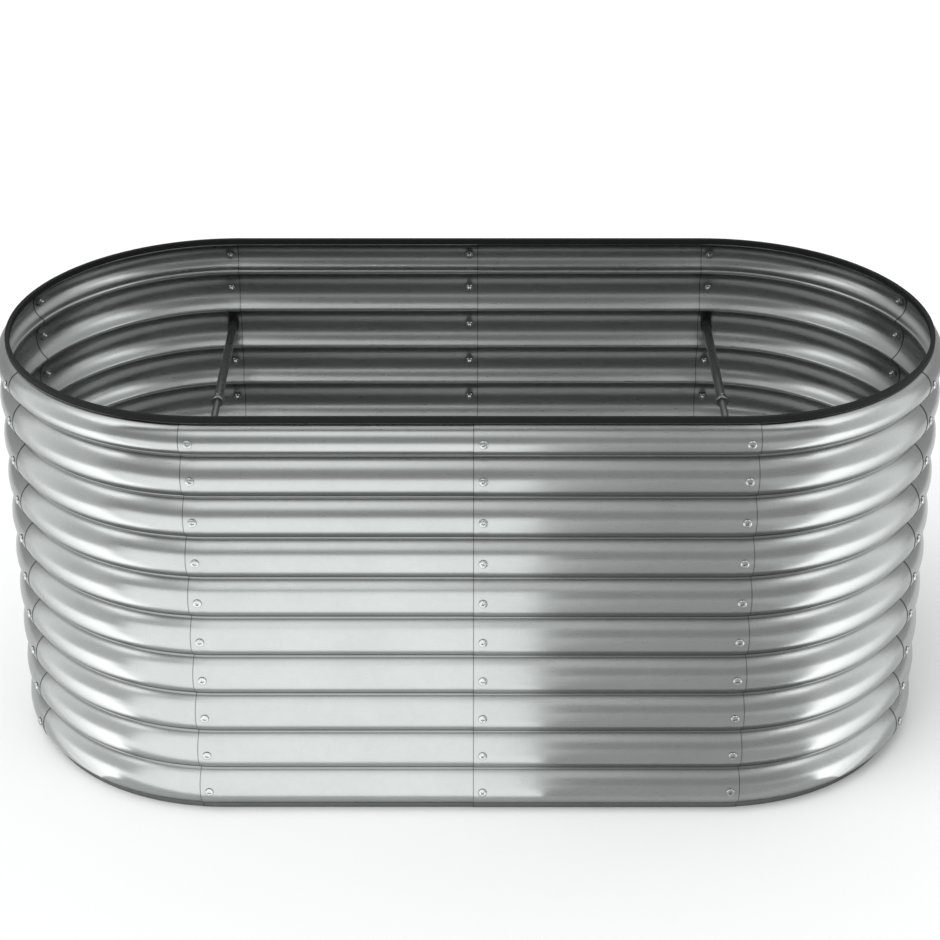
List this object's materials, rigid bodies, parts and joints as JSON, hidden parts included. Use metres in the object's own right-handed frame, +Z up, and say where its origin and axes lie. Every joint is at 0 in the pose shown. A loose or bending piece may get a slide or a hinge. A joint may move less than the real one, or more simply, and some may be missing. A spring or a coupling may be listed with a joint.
{
  "type": "raised garden bed",
  "caption": "Oval raised garden bed of bolted corrugated galvanised sheet, open below, with a rubber rim edging and tie rods across it.",
  "frame": {"origin": "middle of the oval, on the ground", "axes": "+X along the length, +Y to the back, +Z up"},
  "size_m": [1.2824, 0.6128, 0.6],
  "materials": {
    "galvanised_sheet": "galvanised",
    "zinc_fasteners": "zinc plated",
    "zinc_tube": "zinc plated",
    "rubber_edging": "matte",
    "rubber_sleeve": "matte"
  },
  "bodies": {
    "root": {"rim_edging": "rubber_edging", "panel_front_left": "galvanised_sheet", "panel_front_right": "galvanised_sheet", "panel_back_left": "galvanised_sheet", "panel_back_right": "galvanised_sheet", "panel_corner_front_left": "galvanised_sheet", "panel_corner_front_right": "galvanised_sheet", "panel_corner_back_left": "galvanised_sheet", "panel_corner_back_right": "galvanised_sheet", "panel_end_left": "galvanised_sheet", "panel_end_right": "galvanised_sheet", "bolts_front_middle": "zinc_fasteners", "nuts_front_middle": "zinc_fasteners", "bolts_back_middle": "zinc_fasteners", "nuts_back_middle": "zinc_fasteners", "bolts_front_left_corner": "zinc_fasteners", "nuts_front_left_corner": "zinc_fasteners", "bolts_back_left_corner": "zinc_fasteners", "nuts_back_left_corner": "zinc_fasteners", "bolts_front_right_corner": "zinc_fasteners", "nuts_front_right_corner": "zinc_fasteners", "bolts_back_right_corner": "zinc_fasteners", "nuts_back_right_corner": "zinc_fasteners", "bolts_left_end_front": "zinc_fasteners", "nuts_left_end_front": "zinc_fasteners", "bolts_left_end_back": "zinc_fasteners", "nuts_left_end_back": "zinc_fasteners", "bolts_right_end_front": "zinc_fasteners", "nuts_right_end_front": "zinc_fasteners", "bolts_right_end_back": "zinc_fasteners", "nuts_right_end_back": "zinc_fasteners", "tie_left_outer_tube": "zinc_tube", "tie_left_inner_tube": "zinc_tube", "tie_left_collar": "zinc_tube", "tie_left_set_screw": "zinc_fasteners", "tie_left_back_insert": "zinc_fasteners", "tie_left_front_insert": "zinc_fasteners", "tie_left_back_sleeve": "rubber_sleeve", "tie_left_front_sleeve": "rubber_sleeve", "tie_right_outer_tube": "zinc_tube", "tie_right_inner_tube": "zinc_tube", "tie_right_collar": "zinc_tube", "tie_right_set_screw": "zinc_fasteners", "tie_right_back_insert": "zinc_fasteners", "tie_right_front_insert": "zinc_fasteners", "tie_right_back_sleeve": "rubber_sleeve", "tie_right_front_sleeve": "rubber_sleeve"}
  },
  "joints": []
}
